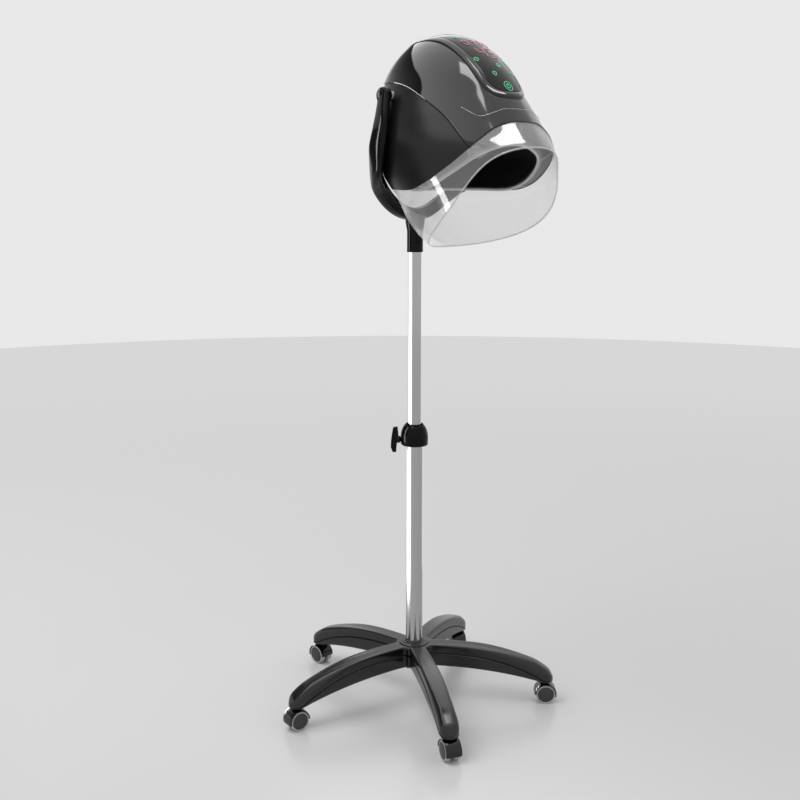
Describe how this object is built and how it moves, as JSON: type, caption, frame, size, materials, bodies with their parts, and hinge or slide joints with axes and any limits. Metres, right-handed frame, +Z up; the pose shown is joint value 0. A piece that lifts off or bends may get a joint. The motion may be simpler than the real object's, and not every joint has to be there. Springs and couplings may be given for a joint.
{
  "type": "hair color processor",
  "caption": "Salon hood with clear visor, tilting in a forked yoke on a telescopic stand with a castored star base, warms hair colour under the hood.",
  "frame": {"origin": "on the floor, under the middle of the bounding box", "axes": "+Z up, the hood's opening faces -Y, the client's right is -X"},
  "size_m": [0.6336, 0.6612, 1.4866],
  "materials": {
    "nylon_black": "satin moulded nylon",
    "gloss_black": "high gloss",
    "wheel_grey": "satin, lighter tread edge",
    "tube_steel": "satin plated",
    "zinc": "zinc plated",
    "nylon_white": "natural nylon",
    "crown_grey": "polished",
    "shell_charcoal": "satin gloss",
    "bowl_black": "matt",
    "vent_grey": "satin, perforated",
    "visor_clear": "clear polycarbonate",
    "board_green": "lacquered board",
    "heater_alloy": "oxidised strip",
    "display_dark": "dark filter over a red display"
  },
  "bodies": {
    "base": {"star_base": "nylon_black", "hub_ring": "gloss_black", "base_bolt": "zinc", "foot_plug": "zinc", "lower_tube": "tube_steel", "tube_bush": "nylon_white", "clamp_collar": "nylon_black", "clamp_pad": "zinc"},
    "knob": {"clamp_knob": "nylon_black"},
    "mast": {"upper_tube": "tube_steel", "slide_plug": "nylon_white", "tube_top_plug": "nylon_white"},
    "yoke": {"yoke": "gloss_black", "swivel_washer": "nylon_white", "pivot_bolt_right": "gloss_black", "pivot_bolt_left": "gloss_black"},
    "hood": {"crown_shell": "crown_grey", "rear_shell": "shell_charcoal", "inner_bowl": "bowl_black", "air_ring": "vent_grey", "heater_band": "heater_alloy", "visor": "visor_clear", "visor_clip_right": "nylon_white", "visor_clip_left": "nylon_white", "control_bezel": "crown_grey", "touch_panel": "gloss_black", "display_window": "display_dark", "control_board": "board_green", "fan_motor": "zinc", "cord_gland": "nylon_black", "friction_washer_right": "nylon_white", "friction_washer_left": "nylon_white"},
    "fan": {"fan_wheel": "nylon_white"},
    "castor_1": {"castor_1_fender": "gloss_black", "castor_1_stem": "zinc", "castor_1_axle": "zinc"},
    "castor_1_left": {"castor_1_wheel_left": "wheel_grey"},
    "castor_1_right": {"castor_1_wheel_right": "wheel_grey"},
    "castor_2": {"castor_2_fender": "gloss_black", "castor_2_stem": "zinc", "castor_2_axle": "zinc"},
    "castor_2_left": {"castor_2_wheel_left": "wheel_grey"},
    "castor_2_right": {"castor_2_wheel_right": "wheel_grey"},
    "castor_3": {"castor_3_fender": "gloss_black", "castor_3_stem": "zinc", "castor_3_axle": "zinc"},
    "castor_3_left": {"castor_3_wheel_left": "wheel_grey"},
    "castor_3_right": {"castor_3_wheel_right": "wheel_grey"},
    "castor_4": {"castor_4_fender": "gloss_black", "castor_4_stem": "zinc", "castor_4_axle": "zinc"},
    "castor_4_left": {"castor_4_wheel_left": "wheel_grey"},
    "castor_4_right": {"castor_4_wheel_right": "wheel_grey"},
    "castor_5": {"castor_5_fender": "gloss_black", "castor_5_stem": "zinc", "castor_5_axle": "zinc"},
    "castor_5_left": {"castor_5_wheel_left": "wheel_grey"},
    "castor_5_right": {"castor_5_wheel_right": "wheel_grey"}
  },
  "joints": [
    {"name": "mast_slide", "type": "slide", "parent": "base", "child": "mast", "axis": [0, 0, 1], "range_m": [-0.18, 0.22]},
    {"name": "clamp_turn", "type": "hinge", "parent": "base", "child": "knob", "pos_m": [0.00822, 0.00081, 0.61725], "axis": [-0.7071, 0.7071, 0], "range_deg": [-360, 0]},
    {"name": "head_swivel", "type": "hinge", "parent": "mast", "child": "yoke", "pos_m": [0.00822, 0.00081, 1.08], "axis": [0, 0, 1], "continuous": true},
    {"name": "hood_tilt", "type": "hinge", "parent": "yoke", "child": "hood", "pos_m": [0.00822, -0.0632, 1.352], "axis": [1, 0, 0], "range_deg": [-30, 0]},
    {"name": "fan_spin", "type": "hinge", "parent": "hood", "child": "fan", "pos_m": [0.00822, -0.08304, 1.43], "axis": [0, 0, 1], "continuous": true},
    {"name": "castor_1_swivel", "type": "hinge", "parent": "base", "child": "castor_1", "pos_m": [-0.14898, -0.25471, 0.05], "axis": [0, 0, 1], "continuous": true},
    {"name": "castor_1_roll_left", "type": "hinge", "parent": "castor_1", "child": "castor_1_left", "pos_m": [-0.15109, -0.25924, 0.022], "axis": [0.9063, -0.4226, 0], "continuous": true},
    {"name": "castor_1_roll_right", "type": "hinge", "parent": "castor_1", "child": "castor_1_right", "pos_m": [-0.15109, -0.25924, 0.022], "axis": [0.9063, -0.4226, 0], "continuous": true},
    {"name": "castor_2_swivel", "type": "hinge", "parent": "base", "child": "castor_2", "pos_m": [0.20265, -0.22766, 0.05], "axis": [0, 0, 1], "continuous": true},
    {"name": "castor_2_roll_left", "type": "hinge", "parent": "castor_2", "child": "castor_2_left", "pos_m": [0.20619, -0.23119, 0.022], "axis": [0.7071, 0.7071, 0], "continuous": true},
    {"name": "castor_2_roll_right", "type": "hinge", "parent": "castor_2", "child": "castor_2_right", "pos_m": [0.20619, -0.23119, 0.022], "axis": [0.7071, 0.7071, 0], "continuous": true},
    {"name": "castor_3_swivel", "type": "hinge", "parent": "base", "child": "castor_3", "pos_m": [0.28558, 0.11513, 0.05], "axis": [0, 0, 1], "continuous": true},
    {"name": "castor_3_roll_left", "type": "hinge", "parent": "castor_3", "child": "castor_3_left", "pos_m": [0.28808, 0.11946, 0.022], "axis": [-0.866, 0.5, 0], "continuous": true},
    {"name": "castor_3_roll_right", "type": "hinge", "parent": "castor_3", "child": "castor_3_right", "pos_m": [0.28808, 0.11946, 0.022], "axis": [-0.866, 0.5, 0], "continuous": true},
    {"name": "castor_4_swivel", "type": "hinge", "parent": "base", "child": "castor_4", "pos_m": [-0.0148, 0.29992, 0.05], "axis": [0, 0, 1], "continuous": true},
    {"name": "castor_4_roll_left", "type": "hinge", "parent": "castor_4", "child": "castor_4_left", "pos_m": [-0.0148, 0.30492, 0.022], "axis": [-1, 0, 0], "continuous": true},
    {"name": "castor_4_roll_right", "type": "hinge", "parent": "castor_4", "child": "castor_4_right", "pos_m": [-0.0148, 0.30492, 0.022], "axis": [-1, 0, 0], "continuous": true},
    {"name": "castor_5_swivel", "type": "hinge", "parent": "base", "child": "castor_5", "pos_m": [-0.28337, 0.07135, 0.05], "axis": [0, 0, 1], "continuous": true},
    {"name": "castor_5_roll_left", "type": "hinge", "parent": "castor_5", "child": "castor_5_left", "pos_m": [-0.2883, 0.07222, 0.022], "axis": [-0.1736, -0.9848, 0], "continuous": true},
    {"name": "castor_5_roll_right", "type": "hinge", "parent": "castor_5", "child": "castor_5_right", "pos_m": [-0.2883, 0.07222, 0.022], "axis": [-0.1736, -0.9848, 0], "continuous": true}
  ]
}
